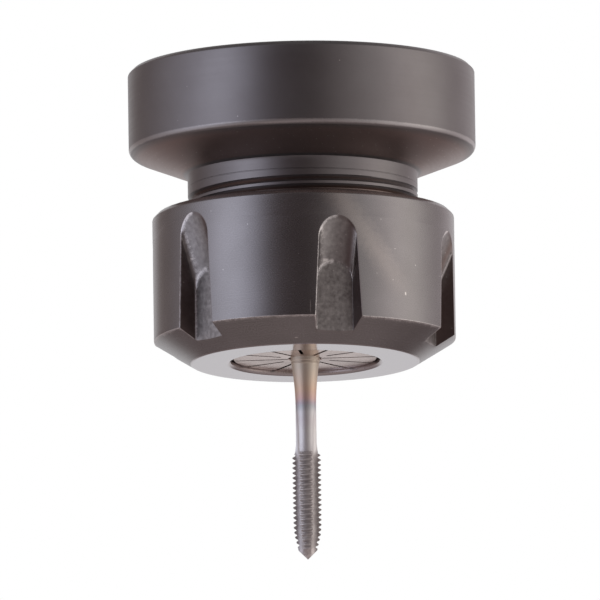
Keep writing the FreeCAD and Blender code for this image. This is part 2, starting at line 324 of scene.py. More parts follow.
def makeThreadTree(name, inside):
    # A thread sleeve between two plain rings. Its rows of faces climb with the thread.
    tree, given = newTree(name, [
        ("Columns", "Int"), ("Rows Per Turn", "Int"), ("Pitch", "Float"), ("Low", "Float"),
        ("High", "Float"), ("Crest Radius", "Float"), ("Depth", "Float"), ("Root Flat", "Float"),
        ("Run Out", "Float"), ("Groove Height", "Float"), ("Clearance", "Float"),
        ("Material", "Material"),
    ])
    pitch, low, high = given["Pitch"], given["Low"], given["High"]
    perTurn = given["Rows Per Turn"]
    turns = ((high - low) / pitch + 1.0).maths("CEIL")
    sheet = addNode(
        tree, "GeometryNodeMeshGrid", SizeX=1.0, SizeY=1.0,
        VerticesX=given["Columns"] + 1.0, VerticesY=turns * perTurn + 1.0,
    )
    spot = addNode(
        tree, "ShaderNodeSeparateXYZ", Vector=out(addNode(tree, "GeometryNodeInputPosition"))
    )
    around = out(spot, "X") + 0.5
    rise = (out(spot, "Y") + 0.5) * turns * pitch - pitch
    height = (low + rise + around * pitch).least(high).most(low)
    # Distance from the middle of the groove, along the axis
    phase = ((low + rise - given["Groove Height"]) / pitch + 0.5).maths("FRACT")
    aside = (phase - 0.5).maths("ABSOLUTE") * pitch
    flank = (aside - given["Root Flat"] / 2.0).most(0.0) * math.sqrt(3)
    if inside:
        tooth = (given["Depth"] - flank - given["Clearance"]).most(0.0)
        tooth = tooth.least(given["Depth"] - given["Clearance"])
        ends = (high - height).least(height - low).most(0.0)
        radius = given["Crest Radius"] - tooth.least(ends)
    else:
        fade = ((high - height) / given["Run Out"]).clamped()
        cut = (given["Depth"] * fade - flank).most(0.0)
        chamfer = given["Crest Radius"] - given["Depth"] - given["Clearance"] + (height - low)
        radius = (given["Crest Radius"] - cut).least(chamfer)
    angle = around * fullTurn
    place = joinXYZ(
        angle.maths("COSINE") * radius * mm, angle.maths("SINE") * radius * mm, height * mm
    )
    wrapped = addNode(tree, "GeometryNodeSetPosition", Geometry=out(sheet), Position=place)
    joined = addNode(
        tree, "GeometryNodeMergeByDistance", Geometry=out(wrapped), Distance=0.002 * mm
    )
    whole = addNode(tree, "GeometryNodeRealizeInstances", Geometry=out(joined))
    return closeTree(tree, out(whole), given["Material"])


# Material helpers
def newFinish(name, **uniform):
    # A material with its shader, and values that are the same all over on the shader itself
    material = bpy.data.materials.new(name)
    material.use_nodes = True
    tree = material.node_tree
    shader = tree.nodes["Principled BSDF"]
    for label, value in uniform.items():
        shader.inputs[label].default_value = value
    return material, tree, shader


def placeOn(tree):
    # Object coordinates in millimetres, also as a vector, with the distance from the axis and the
    # turn about it
    coordinates = tree.nodes.new("ShaderNodeTexCoord")
    parts = addNode(tree, "ShaderNodeSeparateXYZ", Vector=out(coordinates, "Object"))
    x, y, z = (out(parts, axis) / mm for axis in "XYZ")
    return {
        "where": joinXYZ(x, y, z), "x": x, "y": y, "z": z,
        "radius": (x * x + y * y).maths("SQRT"), "turn": y.maths("ARCTAN2", x),
    }


def noiseAt(where, scale, detail=3.0, roughness=0.5):
    # Scale is in features per millimetre
    return out(addNode(
        where.tree, "ShaderNodeTexNoise",
        Vector=where, Scale=scale, Detail=detail, Roughness=roughness,
    ))


def turningLines(place, perMillimetre):
    # Fine marks that run round the axis, on cylinders, cones and faces alike
    along = 0.6  # low, so that the marks run far round
    where = joinXYZ(
        place["radius"] * perMillimetre, place["turn"] * along, place["z"] * perMillimetre
    )
    return noiseAt(where, 1.0, 2.0, 0.6)


def ramp(amount, stops):
    node = addNode(amount.tree, "ShaderNodeValToRGB", Fac=amount)
    band = node.color_ramp
    while len(band.elements) < len(stops):
        band.elements.new(0.5)
    for element, (position, colour) in zip(band.elements, stops):
        element.position = position
        element.color = (*colour, 1)
    return out(node)


def spread(amount, low, high):
    # A share from 0 to 1 as the amount goes from low to high
    return out(addNode(
        amount.tree, "ShaderNodeMapRange", Value=amount, FromMin=low, FromMax=high
    ))


def layered(colour, *layers):
    # A colour under layers, each with the share from 0 to 1 that it hides and its own colour
    for share, tint in layers:
        node = share.tree.nodes.new("ShaderNodeMix")
        node.data_type = "RGBA"
        feed(share.tree, node.inputs["Factor"], share)
        slots = [slot for slot in node.inputs if slot.type == "RGBA"]
        feed(share.tree, slots[0], colour)
        feed(share.tree, slots[1], tint if isinstance(tint, Term) else (*tint, 1))
        colour = Term(share.tree, next(slot for slot in node.outputs if slot.type == "RGBA"))
    return colour


def blendValues(share, first, second):
    # The second amount where the share is 1, and the first where it is 0
    return share * second + (share * -1.0 + 1.0) * first


def attributeOn(tree, name):
    node = tree.nodes.new("ShaderNodeAttribute")
    node.attribute_name = name
    return out(node, "Fac")


def paint(shader, colour, roughness, marks, depth):
    # The marks are a relief, and their depth is in millimetres
    bump = addNode(colour.tree, "ShaderNodeBump", Strength=1.0, Distance=depth * mm, Height=marks)
    for label, item in (("Base Color", colour), ("Roughness", roughness), ("Normal", out(bump))):
        feed(colour.tree, shader.inputs[label], item)


# Camera, below the chuck and looking up a little
cameraSizes = {
    "aimHeight": -32.4,
    "distance": 3900.0,
    "below": 9.85,
    "lean": 0.82,
    "aside": -0.6,
    "lens": 1682.4,
}


def makeCamera():
    below = math.radians(cameraSizes["below"])
    lean = math.radians(cameraSizes["lean"])
    level = Vector((1, 0, 0))
    steep = Vector((0, -math.sin(below), math.cos(below)))
    back = Vector((0, -math.cos(below), -math.sin(below)))
    right = math.cos(lean) * level - math.sin(lean) * steep
    up = math.cos(lean) * steep + math.sin(lean) * level
    place = Vector((0, 0, cameraSizes["aimHeight"])) + back * cameraSizes["distance"]
    place += right * cameraSizes["aside"]
    lens = bpy.data.cameras.new("Camera")
    lens.lens = cameraSizes["lens"]
    lens.sensor_width = 36
    lens.clip_start = 0.05
    lens.clip_end = 50
    camera = bpy.data.objects.new("Camera", lens)
    camera.matrix_world = Matrix.Translation(place * mm) @ Matrix(
        (right, up, back)
    ).transposed().to_4x4()
    bpy.context.scene.collection.objects.link(camera)
    bpy.context.scene.camera = camera


# Studio: soft light all round, with a cool bank on the left and a warm one on the right
studio = {
    "floorDepth": 6.0,
    "floorWidth": 40.0,
    "lampDistance": 1.5,
    "above": (0.16, 0.15, 0.15),
    "below": (0.33, 0.27, 0.265),
    "ring": [
        # Turn from the camera's side in degrees, right positive, and the light from there
        (-180, (0.78, 0.78, 0.80)),
        (-160, (0.70, 0.68, 0.69)),
        (-145, (0.30, 0.25, 0.24)),
        (-128, (0.25, 0.205, 0.20)),
        (-108, (0.38, 0.34, 0.36)),
        (-90, (0.56, 0.54, 0.60)),
        (-72, (0.76, 0.76, 0.89)),
        (-60, (0.95, 0.97, 1.15)),
        (-48, (0.97, 0.99, 1.17)),
        (-39, (0.70, 0.70, 0.83)),
        (-30, (0.25, 0.23, 0.26)),
        (-20, (0.085, 0.06, 0.06)),
        (0, (0.05, 0.034, 0.034)),
        (12, (0.10, 0.08, 0.08)),
        (22, (0.25, 0.22, 0.22)),
        (35, (0.43, 0.39, 0.39)),
        (48, (0.56, 0.53, 0.53)),
        (60, (0.76, 0.70, 0.70)),
        (75, (1.0, 0.92, 0.91)),
        (88, (1.04, 0.97, 0.93)),
        (100, (0.88, 0.82, 0.80)),
        (112, (0.64, 0.58, 0.58)),
        (124, (0.50, 0.44, 0.45)),
        (145, (0.70, 0.63, 0.65)),
        (160, (0.76, 0.72, 0.73)),
        (180, (0.78, 0.78, 0.80)),
    ],
    "lowRing": [
        # The same, 20 to 40 degrees below the horizon
        (-180, (0.19, 0.15, 0.145)),
        (-150, (0.23, 0.18, 0.18)),
        (-110, (0.40, 0.36, 0.38)),
        (-85, (0.62, 0.60, 0.68)),
        (-68, (0.50, 0.48, 0.54)),
        (-50, (0.30, 0.27, 0.28)),
        (-30, (0.20, 0.17, 0.17)),
        (0, (0.22, 0.18, 0.18)),
        (30, (0.30, 0.26, 0.26)),
        (50, (0.48, 0.44, 0.44)),
        (75, (0.75, 0.69, 0.68)),
        (95, (0.85, 0.78, 0.77)),
        (115, (0.50, 0.44, 0.44)),
        (150, (0.18, 0.14, 0.14)),
        (180, (0.19, 0.15, 0.145)),
    ],
}


def makeStudio():
    world = bpy.data.worlds.new("Studio")
    bpy.context.scene.world = world
    world.use_nodes = True
    tree = world.node_tree
    tree.nodes.clear()
    coordinates = tree.nodes.new("ShaderNodeTexCoord")
    parts = addNode(tree, "ShaderNodeSeparateXYZ", Vector=out(coordinates, "Generated"))
    turn = out(parts, "X").maths("ARCTAN2", out(parts, "Y") * -1.0)
    share = turn / fullTurn + 0.5
    ring, lowRing = (
        ramp(share, [((turnAt + 180) / 360, colour) for turnAt, colour in studio[band]])
        for band in ("ring", "lowRing")
    )
    rise = out(parts, "Z")
    light = layered(
        ring, (spread(rise, 0.6, 0.9), studio["above"]), (spread(rise, -0.24, -0.42), lowRing),
        (spread(rise, -0.62, -0.88), studio["below"]),
    )
    soft = addNode(tree, "ShaderNodeBackground", Color=light)
    plain = addNode(tree, "ShaderNodeBackground", Color=(1, 1, 1, 1))
    path = tree.nodes.new("ShaderNodeLightPath")
    choice = tree.nodes.new("ShaderNodeMixShader")
    tree.links.new(path.outputs["Is Camera Ray"], choice.inputs[0])
    tree.links.new(soft.outputs[0], choice.inputs[1])
    tree.links.new(plain.outputs[0], choice.inputs[2])
    output = tree.nodes.new("ShaderNodeOutputWorld")
    tree.links.new(choice.outputs[0], output.inputs[0])

    half = studio["floorWidth"] / 2 / mm
    depth = -studio["floorDepth"] / mm
    corners = [
        (-half, -half, depth), (half, -half, depth), (half, half, depth), (-half, half, depth)
    ]
    floor = bpy.data.objects.new("Floor", newMesh("Floor", corners, [(0, 1, 2, 3)]))
    bpy.context.scene.collection.objects.link(floor)
    pale, _, shader = newFinish("Pale floor", Roughness=0.8)
    shader.inputs["Base Color"].default_value = (0.86, 0.86, 0.86, 1)
    floor.data.materials.append(pale)
    floor.visible_glossy = False

    bpy.context.scene.view_settings.view_transform = "Standard"


def addSoftbox(name, turn, lift, size, watts, colour):
    # A soft light aimed at the chuck. The turn is from the camera's side, right positive.
    lamp = bpy.data.lights.new(name, "AREA")
    lamp.shape = "RECTANGLE"
    lamp.size, lamp.size_y = size
    lamp.energy = watts
    lamp.color = colour
    box = bpy.data.objects.new(name, lamp)
    turn, lift = math.radians(turn), math.radians(lift)
    away = Vector((
        math.sin(turn) * math.cos(lift), -math.cos(turn) * math.cos(lift), math.sin(lift)
    ))
    box.location = away * studio["lampDistance"] + Vector((0, 0, cameraSizes["aimHeight"] * mm))
    box.rotation_euler = away.to_track_quat("Z", "Y").to_euler()
    box.visible_camera = False
    bpy.context.scene.collection.objects.link(box)


makeCamera()
makeStudio()
addSoftbox("Left softbox", -60, 8, (0.6, 1.6), 0.5, (0.92, 0.94, 1.0))
addSoftbox("Right softbox", 84, 8, (0.9, 1.6), 0.5, (1.0, 0.95, 0.92))
print("studio ready")


# Clamping nut. Its heights are measured from its front face.
nutSizes = {
    "radius": 21.0,
    "height": 21.0,
    "topChamfer": 0.7,
    "coneHeight": 3.2,
    "faceRadius": 15.8,
    "holeRadius": 10.4,
    "holeBevel": 0.3,
    "chamberRadius": 12.75,
    "lipOffset": 0.9,
    "lipLow": 6.2,
    "lipHigh": 7.6,
    "coneLow": 1.6,
    "coneHigh": 5.67,
    "entryChamfer": 1.0,
    "turn": 13.3,
    "slots": 6,
    "floorDistance": 18.2,
    "floorHalf": 2.6,
    "floorTop": 11.05,
    "mouthHalf": 3.6,
    "mouthTop": 17.2,
    "tallTop": 19.0,  # one slot runs higher than the others
    "capHalf": 2.7,
    "edgeBreak": 0.07,
    "floorBlend": 0.13,
    "mouthWear": 0.9,  # worn bright, with a painted highlight line, on the side of each slot that the wrench pushes, left as seen from outside
    "farWear": 0.1,  # on its other side, where the edge is sharper and stays dark
    "coneWear": 1.0,
    "wallForged": 0.6,
    "legShade": 0.8,  # how dark the painted shade on the straight sides of the slots is
    "nicks": [
        # Turn in degrees, height, width and length of the marks in the photograph
        (272.3, 4.4, 0.13, 2.0),
        (312.0, 6.9, 0.3, 0.55),
        (317.4, 11.1, 0.14, 0.2),
        (266.0, 0.72, 0.55, 0.1),
        (279.3, 11.3, 1.0, 0.5),
        (216.8, 12.9, 0.4, 0.4),
    ],
}


# Finishes
def specksOn(where, perMillimetre=0.45, size=0.035):
    # A few grains of dust, far apart
    cells = addNode(where.tree, "ShaderNodeTexVoronoi", Vector=where, Scale=perMillimetre)
    return spread(out(cells, "Distance"), size, size * 0.6)


def nickOn(place, turn, height, width, length):
    # A small bright mark on the turned outside
    turn = math.atan2(math.sin(math.radians(turn)), math.cos(math.radians(turn)))
    across = ((place["turn"] - turn) * place["radius"]).maths("ABSOLUTE")
    along = (place["z"] - height).maths("ABSOLUTE")
    return spread(across, width / 2, width / 4) * spread(along, length / 2, length / 4)


def makeBlackenedSteel():
    material, tree, shader = newFinish("Blackened steel", Metallic=0.9)
    place = placeOn(tree)
    patches = noiseAt(place["where"], 0.12, 4.0)
    grain = noiseAt(place["where"], 7.0, 4.0, 0.65)
    lines = turningLines(place, 5.0)
    # Pale metal where chipped and worn, with a painted highlight along the flange's rounding
    wearAndHighlight = attributeOn(tree, "wearAndHighlight")
    chippedAndHighlight = spread(wearAndHighlight * 0.8 + (grain - 0.5) * 0.8 + (patches - 0.5) * 0.6, 0.35, 0.7)
    colour = ramp(patches, [(0.3, (0.235, 0.219, 0.218)), (0.7, (0.27, 0.256, 0.256))])
    # The flange's underside and the thread's grooves get a painted warm bounce light that browns
    # their shade and lifts it under the flange; the underside also has more dust
    below = spread(place["z"], -11.7, -12.2)
    under = below * spread(place["radius"], 16.3, 16.8)
    grooves = below * spread(place["radius"], 15.7, 15.4) * spread(place["radius"], 15.0, 15.2)
    dust = specksOn(place["where"]).most(specksOn(place["where"], 1.1, 0.1) * under)
    colour = layered(
        colour, (under, (0.37, 0.285, 0.262)), (grooves, (0.24, 0.185, 0.165)),
        (chippedAndHighlight, (0.48, 0.46, 0.455)), (dust, (0.72, 0.68, 0.65)),
    )
    roughness = (grain - 0.5) * 0.14 + (lines - 0.5) * 0.12 + 0.36
    roughness = blendValues(chippedAndHighlight, roughness, 0.3)
    paint(shader, colour, roughness, lines * 0.6 + grain * 0.4, 0.006)
    return material


def makeNutSteel():
    # The nut is the same steel, ground bright on its front face and polished finer round its wall
    material, tree, shader = newFinish("Nut steel", Metallic=0.95)
    place = placeOn(tree)
    front = heights["nutFace"]
    patches = noiseAt(place["where"], 0.15, 4.0)
    grain = noiseAt(place["where"], 7.0, 4.0, 0.65)
    coarse = noiseAt(place["where"], 1.6, 4.0, 0.6)
    lines = turningLines(place, 13.0)
    wearAndHighlight = attributeOn(tree, "wearAndHighlight")
    forged = attributeOn(tree, "forged")
    shade = attributeOn(tree, "shade")
    chippedAndHighlight = spread(wearAndHighlight + (grain - 0.5) * 1.2 + (coarse - 0.5) * 0.8, 0.4, 0.85)
    face = spread(place["z"], front + 0.12, front + 0.04)
    hole = spread(place["radius"], nutSizes["holeRadius"] + 0.5, nutSizes["holeRadius"] + 0.2)
    satin = ramp(patches, [(0.3, (0.288, 0.275, 0.273)), (0.7, (0.325, 0.311, 0.311))])
    scale = ramp(coarse, [(0.3, (0.25, 0.233, 0.224)), (0.72, (0.52, 0.495, 0.48))])
    # A soft pale diagonal band on the wall, right of the middle slot
    streak = place["turn"] + 1.12 + (place["z"] - front - 14.0) * 0.035 + (coarse - 0.5) * 0.12
    paleBand = spread(streak.maths("ABSOLUTE"), 0.14, 0.02) * spread(place["z"] - front, 6.0, 13.0)
    marks = specksOn(place["where"]).most(specksOn(place["where"], 0.9, 0.08) * forged)
    for turn, height, width, length in nutSizes["nicks"]:
        marks = marks.most(nickOn(place, turn, front + height, width, length))
    # Shade is painted shade on the slot walls, and the pale worn layer also carries painted
    # highlights on the slot edges, slopes and cone edge
    colour = layered(
        satin, (paleBand * 0.6, (0.50, 0.46, 0.43)), (forged, scale), (shade, (0.17, 0.122, 0.112)),
        (chippedAndHighlight, (0.88, 0.85, 0.83)), (hole, (0.58, 0.55, 0.545)), (face, (0.485, 0.447, 0.455)),
        (marks, (0.78, 0.75, 0.72)),
    )
    roughness = (grain - 0.5) * 0.1 + (lines - 0.5) * 0.03 + 0.28
    for share, own in ((forged, 0.44), (chippedAndHighlight, 0.42), (face, 0.13)):
        roughness = blendValues(share, roughness, own)
    paint(shader, colour, roughness, lines * 0.04 + grain * 0.08 + coarse * forged * 4.0, 0.006)
    return material


def makeSpringSteel():
    material, tree, shader = newFinish("Spring steel", Metallic=1.0)
    place = placeOn(tree)
    patches = noiseAt(place["where"], 0.22, 3.0)
    grain = noiseAt(place["where"], 9.0, 3.0)
    lines = turningLines(place, 7.0)
    front = spread(place["z"], heights["colletFace"] + 0.5, heights["colletFace"] + 0.2)
    tone = ramp(patches, [(0.3, (0.52, 0.49, 0.485)), (0.7, (0.58, 0.55, 0.545))])
    bright = ramp(patches, [(0.35, (0.50, 0.395, 0.355)), (0.65, (0.67, 0.545, 0.495))])
    roughness = (grain - 0.5) * 0.1 + (lines - 0.5) * 0.1 + 0.26
    colour = layered(tone, (front, bright))
    paint(shader, colour, roughness, lines * 0.6 + grain * 0.3, 0.004)
    return material


# Heat tints along the tap, as heights above its tip and colours
tapTints = [
    (0.0, (0.86, 0.82, 0.80)),
    (1.3, (0.80, 0.76, 0.74)),
    (1.8, (0.70, 0.67, 0.65)),
    (14.4, (0.72, 0.69, 0.67)),
    (15.6, (0.93, 0.92, 0.91)),
    (18.0, (0.93, 0.92, 0.90)),
    (19.4, (0.88, 0.85, 0.85)),
    (20.6, (0.88, 0.88, 0.88)),
    (21.4, (0.66, 0.68, 0.70)),
    (21.9, (0.68, 0.60, 0.64)),
    (22.5, (0.86, 0.63, 0.58)),
    (23.8, (0.95, 0.73, 0.56)),
    (25.2, (0.93, 0.79, 0.64)),
    (26.8, (0.90, 0.82, 0.69)),
    (63.0, (0.84, 0.78, 0.68)),
]


def makeToolSteel():
    material, tree, shader = newFinish("Tool steel", Metallic=0.88)
    place = placeOn(tree)
    grain = noiseAt(place["where"], 12.0, 3.0)
    patches = noiseAt(place["where"], 0.5, 3.0)
    lines = turningLines(place, 16.0)
    above = place["z"] - heights["tapTip"] + (patches - 0.5) * 0.5
    length = tapTints[-1][0]
    tint = ramp(above / length, [(level / length, colour) for level, colour in tapTints])
    threaded = spread(place["z"] - heights["tapTip"], 15.2, 14.4)
    crest = spread(place["radius"], 1.9, 1.99)
    flute = spread(place["radius"], 1.55, 1.42)
    mottled = spread(noiseAt(place["where"], 1.6, 3.0), 0.62, 0.4)
    # Painted highlight: pale, rough lines along the land edges
    edges = attributeOn(tree, "wearAndHighlight") * 0.8
    colour = layered(
        tint, (threaded * mottled * 0.45, (0.40, 0.36, 0.355)),
        (threaded * crest * 0.7, (0.90, 0.88, 0.87)), (edges, (0.97, 0.96, 0.95)),
    )
    roughness = (grain - 0.5) * 0.12 + (lines - 0.5) * 0.06 + threaded * flute * 0.08 + 0.5
    roughness = blendValues(edges, roughness, 0.75)
    paint(shader, colour, roughness, lines * 0.6 + grain * 0.3, 0.002)
    return material


finishes = {
    "blackened": makeBlackenedSteel(),
    "nut": makeNutSteel(),
    "spring": makeSpringSteel(),
    "tool": makeToolSteel(),
}
print("finishes ready")


# Thread of the nose and the nut. The groove height is measured at the +X side.
noseThread = {
    "Columns": 256,
    "Rows Per Turn": 12,
    "Pitch": 1.5,
    "Crest Radius": 16.0,
    "Depth": 0.82,
    "Root Flat": 0.12,
    "Run Out": 1.15,
    "Groove Height": heights["nutFace"] + 20.875,
    "Clearance": 0.08,  # between the nut's teeth and the nose, and left at the nose's end
}

repeatTree = makeRepeatTree()
cutTree = makeCutTree()


# Chuck body
bodySizes = {
    "columns": 256,
    "rim": 24.15,
    "rimChamfer": 0.6,
    "rimHeight": 11.54,
    "rounding": 1.0,
    "undersideAngle": 21.6,
    "nose": 16.0,
    "threadTop": heights["nutFace"] + 24.3,
    "scratchHeight": heights["nutFace"] + 24.72,
    "wall": 5.7,
    "mouth": 12.8,
    "mouthChamfer": 0.3,
    "seat": 9.1,
    "pilot": 5.0,
    "pilotChamfer": 0.5,
    "boltCircle": 18.0,
    "boltRadius": 2.1,
    "boltDepth": 9.0,
    "boltChamfer": 0.4,
    "boltPoint": 59.0,  # half of the angle of the drill's point
    "boltColumns": 48,
}


def cutRound(solid, tool, count, step, start, finish):
    # Takes copies of a tool's mesh away from a solid, evenly round the axis
    cutter = bpy.data.objects.new("cutter", tool)
    bpy.context.scene.collection.objects.link(cutter)
    made = runTree(cutTree, solid, {
        "Tool": cutter, "Count": count, "Step": step, "Start Turn": start,
        "Material": finishes[finish],
    })
    bpy.data.objects.remove(cutter)
    return made


def threadSleeve(inside, crest, low, high, finish):
    tree = makeThreadTree("Inside thread" if inside else "Outside thread", inside)
    return runTree(tree, bpy.data.meshes.new("empty"), {
        **noseThread, "Crest Radius": crest, "Low": low, "High": high,
        "Material": finishes[finish],
    })


def makeChuckBody():
    s = bodySizes
    rim, nose, low = s["rim"], s["nose"], -s["rimHeight"]
    slope = math.radians(s["undersideAngle"])
    reach = s["rounding"] / math.tan((slope + math.pi / 2) / 2)
    neckTop = low - (rim - nose) * math.tan(slope)
    noseEnd = heights["noseEnd"]
    rounding = arcRings(
        (rim - s["rounding"], low + reach), s["rounding"], 0, s["undersideAngle"] - 90, 9
    )
    bevel = 0.08
    outside = [
        (s["pilot"], -s["pilotChamfer"]),
        (s["pilot"] + s["pilotChamfer"], 0),
        (8.0, 0), (12.0, 0), (23.0, 0),
        (rim - s["rimChamfer"] - bevel, 0),
        (rim - s["rimChamfer"] + bevel / 2, -bevel / 2),
        (rim - bevel / 2, bevel / 2 - s["rimChamfer"]),
        (rim, -s["rimChamfer"] - bevel),
        (rim, -3), (rim, -6), (rim, low + reach + 0.5),
        *rounding,
        (nose + 5, low - (rim - nose - 5) * math.tan(slope)),
        (nose + 2, low - (rim - nose - 2) * math.tan(slope)),
        (nose + 0.35, neckTop + 0.14), (nose + 0.1, neckTop - 0.05), (nose, neckTop - 0.3),
        (nose, neckTop - 1.0),
        *[(nose - depth, s["scratchHeight"] + step) for step, depth in (
            (0.08, 0), (0.04, 0.04), (-0.04, 0.04), (-0.08, 0)
        )],
        (nose, s["threadTop"]),
    ]
    rimWearAndHighlight = [0.0] * len(outside)
    rimWearAndHighlight[6] = rimWearAndHighlight[7] = 0.15
    rimWearAndHighlight[12:21] = 0, 0.6, 0.9, 1, 0.9, 0.6, 0.2, 0, 0  # rubbed bright on the rounding, plus a painted highlight there
    shell = lathe("outside", outside, s["columns"], wearAndHighlight=rimWearAndHighlight)
    noseEdge = nose - noseThread["Depth"] - noseThread["Clearance"]
    inside = [
        (noseEdge, noseEnd),
        (s["mouth"] + s["mouthChamfer"], noseEnd),
        (s["mouth"], noseEnd + s["mouthChamfer"]),
        (s["mouth"] - 1.2, noseEnd + 8.84),
        (s["mouth"] - 2.4, noseEnd + 17.38),
        (s["seat"], -s["wall"]),
        (s["pilot"], -s["wall"]),
        (s["pilot"], -s["pilotChamfer"]),
    ]
    bore = lathe("inside", inside, s["columns"])
    sleeve = threadSleeve(
        False, noseThread["Crest Radius"], noseEnd, s["threadTop"], "blackened"
    )
    solid = solidOf([shell, bore, sleeve], 0.003)

    # Four core holes in the rear face, with their edges broken
    radius, depth = s["boltRadius"], s["boltDepth"]
    point = radius / math.tan(math.radians(s["boltPoint"]))
    broken = s["boltChamfer"]
    drill = solidOf([lathe("drill", [
        (0, -depth - point), (radius, -depth), (radius, -broken), (radius + broken, 0),
        (radius + broken, 1), (0, 1),
    ], s["boltColumns"])])
    drill.transform(Matrix.Translation(Vector((s["boltCircle"] * mm, 0, 0))))
    made = cutRound(solid, drill, 4, math.pi / 2, math.pi / 4, "blackened")
    return finishPiece("chuckBody", gather([made]), finishes["blackened"])


# Clamping nut
def nutRadius(height):
    s = nutSizes
    slope = (s["radius"] - s["faceRadius"]) / s["coneHeight"]
    return np.minimum(s["radius"], s["faceRadius"] + np.asarray(height) * slope)


def coneLevel(x, y):
    # Height of the front cone over a place
    s = nutSizes
    return (np.hypot(x, y) - s["faceRadius"]) * s["coneHeight"] / (s["radius"] - s["faceRadius"])


class SlotOutline:
    # The U outline of a wrench slot, from its bottom left corner over the top to the bottom right
    def __init__(self, mouthTop):
        s = nutSizes
        past = 1.0
        wall = s["radius"] - s["floorDistance"]
        reach = (wall + past) / wall
        self.depth = wall + past
        self.low = -past
        self.half = s["floorHalf"]
        self.level = s["floorTop"] - s["floorHalf"]
        self.outerHalf = self.half + (s["mouthHalf"] - self.half) * reach
        self.outerCap = self.half + (s["capHalf"] - self.half) * reach
        self.outerLevel = self.level + (s["mouthTop"] - s["capHalf"] - self.level) * reach
        self.extra = (mouthTop - s["mouthTop"]) * reach

    def ends(self, at):
        # Where a ruling starts on the floor and ends past the mouth: at is 0 to 1 up the left leg
        # and 1 to 2 over the left half of the arc
        at = np.asarray(at, float)
        leg = np.clip(at, 0, 1)
        turn = np.clip(at - 1, 0, 1) * math.pi / 2
        floorSide = -self.half * np.cos(turn)
        floorHeight = self.low + (self.level - self.low) * leg + self.half * np.sin(turn)
        outerSide = self.outerHalf + (self.outerCap - self.outerHalf) * leg
        mouthSide = -outerSide * np.cos(turn)
        mouthHeight = self.low + (self.outerLevel - self.low) * leg
        mouthHeight = mouthHeight + self.extra * np.clip((leg - 0.35) / 0.65, 0, 1) ** 1.5
        mouthHeight = mouthHeight + self.outerCap * np.sin(turn)
        return floorSide, floorHeight, mouthSide, mouthHeight

    def point(self, at, share):
        # Radial distance from the axis plane, sideways distance and height
        floorSide, floorHeight, mouthSide, mouthHeight = self.ends(at)
        out = nutSizes["floorDistance"] + self.depth * share
        side = floorSide + (mouthSide - floorSide) * share
        return out, side, floorHeight + (mouthHeight - floorHeight) * share

    def shareOut(self, at):
        # How far along each ruling the wall meets the turned outside
        low, high = np.zeros(np.shape(at)), np.ones(np.shape(at))
        for _ in range(40):
            middle = (low + high) / 2
            outwards, side, height = self.point(at, middle)
            beyond = np.hypot(outwards, side) > nutRadius(height)
            high = np.where(beyond, middle, high)
            low = np.where(beyond, low, middle)
        return (low + high) / 2


def slotEdge(slot, sharper=0.0):
    # Rows of the left half: up the leg, with one on the edge of the cone, then over the arc
    s = nutSizes
    cone = s["coneHeight"]
    first = (coneLevel(s["floorDistance"], slot.half) - slot.low) / (slot.level - slot.low)
    fine = np.linspace(first, 1, 400)
    fineHeights = slot.point(fine, slot.shareOut(fine))[2]
    wanted = [1.9, 2.3, 2.7, cone - 0.1, cone, cone + 0.1, 3.9, 4.8, 6, 7.5, 9, 10.5, 12, 13.2]
    legs = np.interp(wanted, fineHeights, fine)
    at = np.concatenate([[first], legs, [1], 1 + np.linspace(0, 1, 15)[1:]])
    edge = s["edgeBreak"] * (1 - sharper * np.clip((2 - at) / 0.5, 0, 1))
    share = slot.shareOut(at)
    share[0] = 0
    outwards, side, height = slot.point(at, share)

    # A step away from the mouth's edge, square to it, along the turned outside
    around = np.arctan2(side, outwards) * s["radius"]
    run = np.gradient(around), np.gradient(height)
    size = np.hypot(*run)
    away = [-run[1] / size, run[0] / size]
    away[0][-1], away[1][-1] = 0, 1
    shrink = np.clip(share / 0.08, 0, 1)
    landTurn = (around + away[0] * edge * shrink) / s["radius"]
    return at, share, landTurn, height + away[1] * edge * shrink, edge


